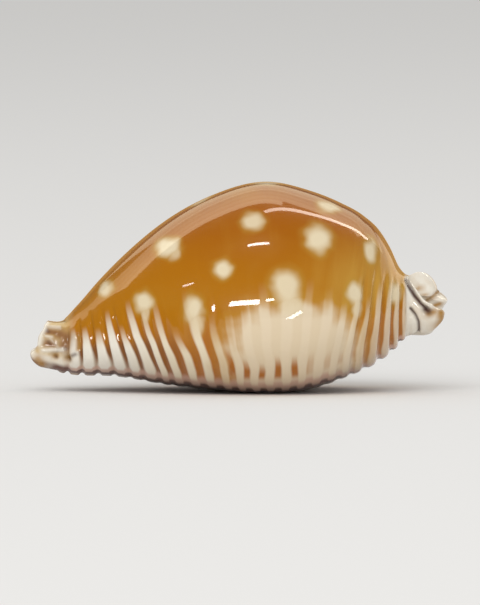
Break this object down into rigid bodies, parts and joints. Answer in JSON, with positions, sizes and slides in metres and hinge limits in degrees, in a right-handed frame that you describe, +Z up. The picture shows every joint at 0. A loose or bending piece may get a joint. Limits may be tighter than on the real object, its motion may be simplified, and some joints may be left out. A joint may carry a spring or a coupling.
{
  "type": "spotted cowrie shell",
  "caption": "Glossy pear-shaped cowrie shell, hollow, with pale spots on the back, ribbed sides and a toothed slit along its rounded base; rests on a small flat spot.",
  "frame": {"origin": "middle of the flat resting plane, under the centre of the shell's box", "axes": "+X along the shell from the front canal to the rear canal, +Y to the outer-lip side, +Z up through the back; the slit faces down"},
  "size_m": [0.06, 0.0361, 0.0301],
  "materials": {
    "glossy_shell": "gloss"
  },
  "bodies": {
    "root": {"shell": "glossy_shell"}
  },
  "joints": []
}
